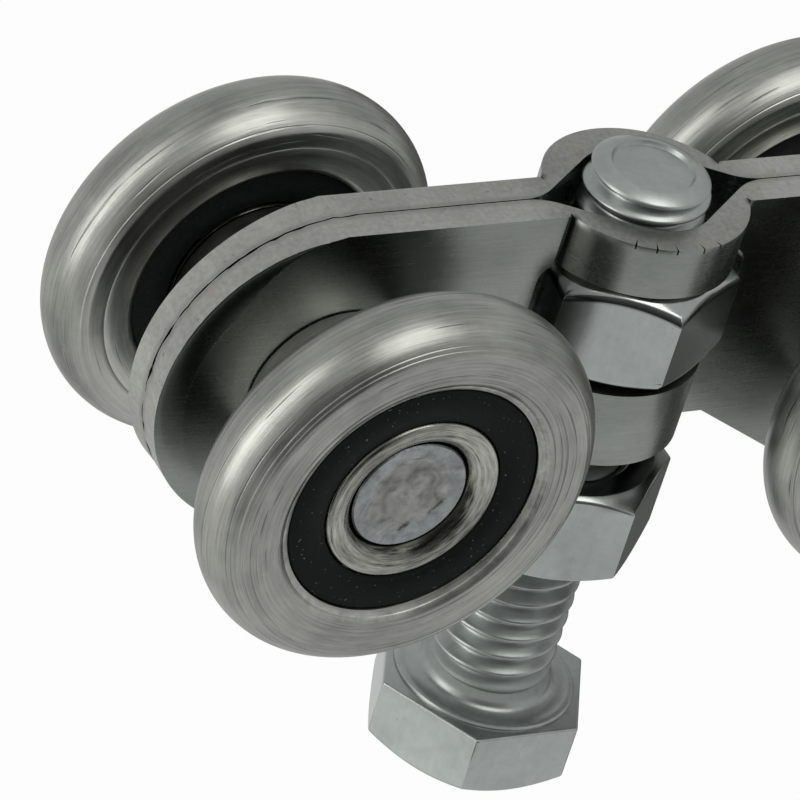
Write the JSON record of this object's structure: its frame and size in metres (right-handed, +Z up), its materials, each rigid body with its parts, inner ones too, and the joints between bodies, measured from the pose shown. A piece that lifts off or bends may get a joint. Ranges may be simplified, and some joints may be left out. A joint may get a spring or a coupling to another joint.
{
  "type": "sliding door hanger trolley",
  "caption": "Hanger trolley for a sliding door track: ball-bearing wheels on pressed plates that hold a captive nut and a hexagon hanging bolt with its jam nut.",
  "frame": {"origin": "midway between the four wheels, on the plane that their treads run on", "axes": "+X along the way of travel, +Y along the axles, +Z up along the hanging bolt"},
  "size_m": [0.065, 0.027, 0.0445],
  "materials": {
    "turned_steel": "turned, satin",
    "ring_steel": "ground, satin",
    "seal_rubber": "moulded, black",
    "ball_steel": "polished bearing steel",
    "cage_nylon": "moulded, natural",
    "axle_steel": "drawn, staked ends",
    "spacer_steel": "zinc plated",
    "plate_zinc": "pressed, zinc plated, satin",
    "bright_zinc": "bright zinc plated"
  },
  "bodies": {
    "frame": {"plate_front": "plate_zinc", "plate_back": "plate_zinc", "axle_left": "axle_steel", "axle_right": "axle_steel", "captive_nut": "bright_zinc", "spacer_front_left": "spacer_steel", "spacer_front_right": "spacer_steel", "spacer_back_left": "spacer_steel", "spacer_back_right": "spacer_steel", "inner_ring_front_left": "ring_steel", "inner_ring_front_right": "ring_steel", "inner_ring_back_left": "ring_steel", "inner_ring_back_right": "ring_steel"},
    "wheel_front_left_body": {"wheel_front_left": "turned_steel", "seal_outer_front_left": "seal_rubber", "seal_inner_front_left": "seal_rubber"},
    "balls_front_left_body": {"cage_front_left": "cage_nylon", "ball_front_left_1": "ball_steel", "ball_front_left_2": "ball_steel", "ball_front_left_3": "ball_steel", "ball_front_left_4": "ball_steel", "ball_front_left_5": "ball_steel", "ball_front_left_6": "ball_steel", "ball_front_left_7": "ball_steel"},
    "wheel_front_right_body": {"wheel_front_right": "turned_steel", "seal_outer_front_right": "seal_rubber", "seal_inner_front_right": "seal_rubber"},
    "balls_front_right_body": {"cage_front_right": "cage_nylon", "ball_front_right_1": "ball_steel", "ball_front_right_2": "ball_steel", "ball_front_right_3": "ball_steel", "ball_front_right_4": "ball_steel", "ball_front_right_5": "ball_steel", "ball_front_right_6": "ball_steel", "ball_front_right_7": "ball_steel"},
    "wheel_back_left_body": {"wheel_back_left": "turned_steel", "seal_outer_back_left": "seal_rubber", "seal_inner_back_left": "seal_rubber"},
    "balls_back_left_body": {"cage_back_left": "cage_nylon", "ball_back_left_1": "ball_steel", "ball_back_left_2": "ball_steel", "ball_back_left_3": "ball_steel", "ball_back_left_4": "ball_steel", "ball_back_left_5": "ball_steel", "ball_back_left_6": "ball_steel", "ball_back_left_7": "ball_steel"},
    "wheel_back_right_body": {"wheel_back_right": "turned_steel", "seal_outer_back_right": "seal_rubber", "seal_inner_back_right": "seal_rubber"},
    "balls_back_right_body": {"cage_back_right": "cage_nylon", "ball_back_right_1": "ball_steel", "ball_back_right_2": "ball_steel", "ball_back_right_3": "ball_steel", "ball_back_right_4": "ball_steel", "ball_back_right_5": "ball_steel", "ball_back_right_6": "ball_steel", "ball_back_right_7": "ball_steel"},
    "bolt_body": {"hanger_bolt": "bright_zinc"},
    "jam_nut_body": {"jam_nut": "bright_zinc"}
  },
  "joints": [
    {"name": "wheel_front_left_spin", "type": "hinge", "parent": "frame", "child": "wheel_front_left_body", "pos_m": [-0.01985, -0.01072, 0.0127], "axis": [0, 1, 0], "continuous": true},
    {"name": "balls_front_left_spin", "type": "hinge", "parent": "frame", "child": "balls_front_left_body", "pos_m": [-0.01985, -0.01072, 0.0127], "axis": [0, 1, 0], "continuous": true},
    {"name": "wheel_front_right_spin", "type": "hinge", "parent": "frame", "child": "wheel_front_right_body", "pos_m": [0.01985, -0.01072, 0.0127], "axis": [0, 1, 0], "continuous": true},
    {"name": "balls_front_right_spin", "type": "hinge", "parent": "frame", "child": "balls_front_right_body", "pos_m": [0.01985, -0.01072, 0.0127], "axis": [0, 1, 0], "continuous": true},
    {"name": "wheel_back_left_spin", "type": "hinge", "parent": "frame", "child": "wheel_back_left_body", "pos_m": [-0.01985, 0.01072, 0.0127], "axis": [0, 1, 0], "continuous": true},
    {"name": "balls_back_left_spin", "type": "hinge", "parent": "frame", "child": "balls_back_left_body", "pos_m": [-0.01985, 0.01072, 0.0127], "axis": [0, 1, 0], "continuous": true},
    {"name": "wheel_back_right_spin", "type": "hinge", "parent": "frame", "child": "wheel_back_right_body", "pos_m": [0.01985, 0.01072, 0.0127], "axis": [0, 1, 0], "continuous": true},
    {"name": "balls_back_right_spin", "type": "hinge", "parent": "frame", "child": "balls_back_right_body", "pos_m": [0.01985, 0.01072, 0.0127], "axis": [0, 1, 0], "continuous": true},
    {"name": "bolt_height", "type": "slide", "parent": "frame", "child": "bolt_body", "axis": [0, 0, 1], "range_m": [-0.0054, 0.0023]},
    {"name": "jam_nut_run", "type": "slide", "parent": "bolt_body", "child": "jam_nut_body", "axis": [0, 0, 1], "range_m": [-0.0118, 0]}
  ],
  "couplings": [
    {"joint": "balls_front_left_spin", "follows": "wheel_front_left_spin", "ratio": 0.61562},
    {"joint": "balls_front_right_spin", "follows": "wheel_front_right_spin", "ratio": 0.61562},
    {"joint": "balls_back_left_spin", "follows": "wheel_back_left_spin", "ratio": 0.61562},
    {"joint": "balls_back_right_spin", "follows": "wheel_back_right_spin", "ratio": 0.61562}
  ]
}
